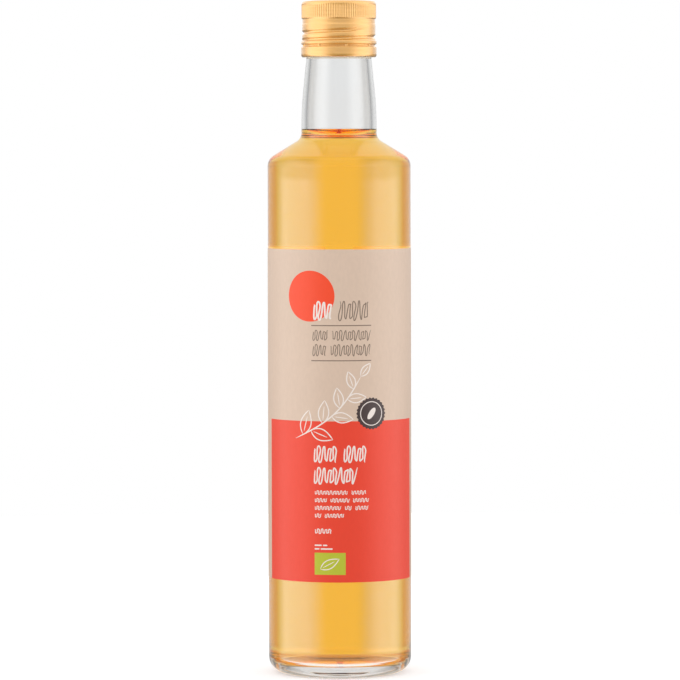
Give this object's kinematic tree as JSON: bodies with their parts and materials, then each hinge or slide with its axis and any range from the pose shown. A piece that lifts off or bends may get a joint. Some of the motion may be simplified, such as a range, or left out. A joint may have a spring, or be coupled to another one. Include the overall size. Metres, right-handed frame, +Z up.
{
  "type": "vinegar bottle",
  "caption": "Round 500 ml clear glass bottle filled with amber vinegar, with a conical shoulder, tapered neck, gold roll-on screw cap and wrap-around two-tone paper label.",
  "frame": {"origin": "centre of the ring the bottle stands on, at the level of the surface it stands on", "axes": "+Z up along the bottle's axis to the cap, -Y towards the middle of the label's front, +X to its right"},
  "size_m": [0.0604, 0.0603, 0.2829],
  "materials": {
    "clear_glass": "clear, gloss",
    "vinegar": "clear amber liquid",
    "label_paper": "coated paper, satin",
    "gold_aluminium": "gold lacquer, satin"
  },
  "bodies": {
    "root": {"bottle": "clear_glass", "vinegar": "vinegar", "label": "label_paper", "cap": "gold_aluminium"}
  },
  "joints": []
}
